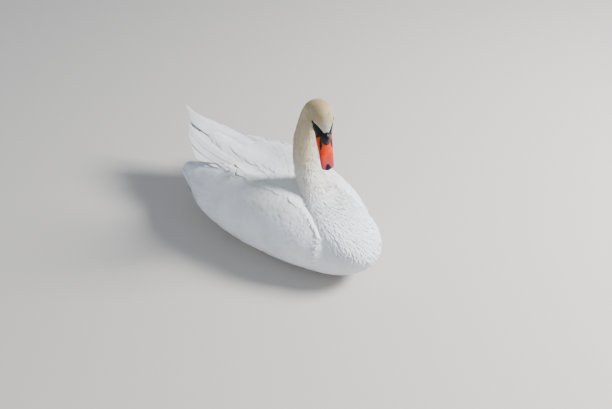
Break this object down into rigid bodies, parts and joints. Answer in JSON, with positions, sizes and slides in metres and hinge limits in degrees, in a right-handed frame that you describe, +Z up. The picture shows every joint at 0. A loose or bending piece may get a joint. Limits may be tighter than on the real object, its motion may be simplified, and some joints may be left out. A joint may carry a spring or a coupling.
{
  "type": "mute swan at rest",
  "caption": "Still life-size display model of a mute swan resting on its belly, wings folded, neck raised in an S and head turned to its right.",
  "frame": {"origin": "middle of the bounding box's base, on the ground under the belly", "axes": "+Z up; the bird faces -Y and its left side is +X"},
  "size_m": [0.3252, 0.7154, 0.478],
  "materials": {
    "white_plumage": "soft white contour feathers, matt with a faint sheen",
    "buff_plumage": "short dense white feathers stained buff, matt",
    "orange_bill": "satin orange horn with a faint grain",
    "black_skin": "bare black skin, satin",
    "grey_skin": "dark grey scaled skin, matt",
    "eye": "wet dark brown eye, glossy"
  },
  "bodies": {
    "root": {"trunk": "white_plumage", "wing_left": "white_plumage", "wing_right": "white_plumage", "primaries_left": "white_plumage", "primaries_right": "white_plumage", "tail": "white_plumage", "neck_lower": "buff_plumage", "neck_upper": "buff_plumage", "head": "buff_plumage", "bill_upper": "orange_bill", "bill_lower": "black_skin", "bill_nail": "black_skin", "bill_knob": "black_skin", "eye_left": "eye", "eye_right": "eye", "leg_left": "grey_skin", "leg_right": "grey_skin", "foot_left": "grey_skin", "foot_right": "grey_skin"}
  },
  "joints": []
}
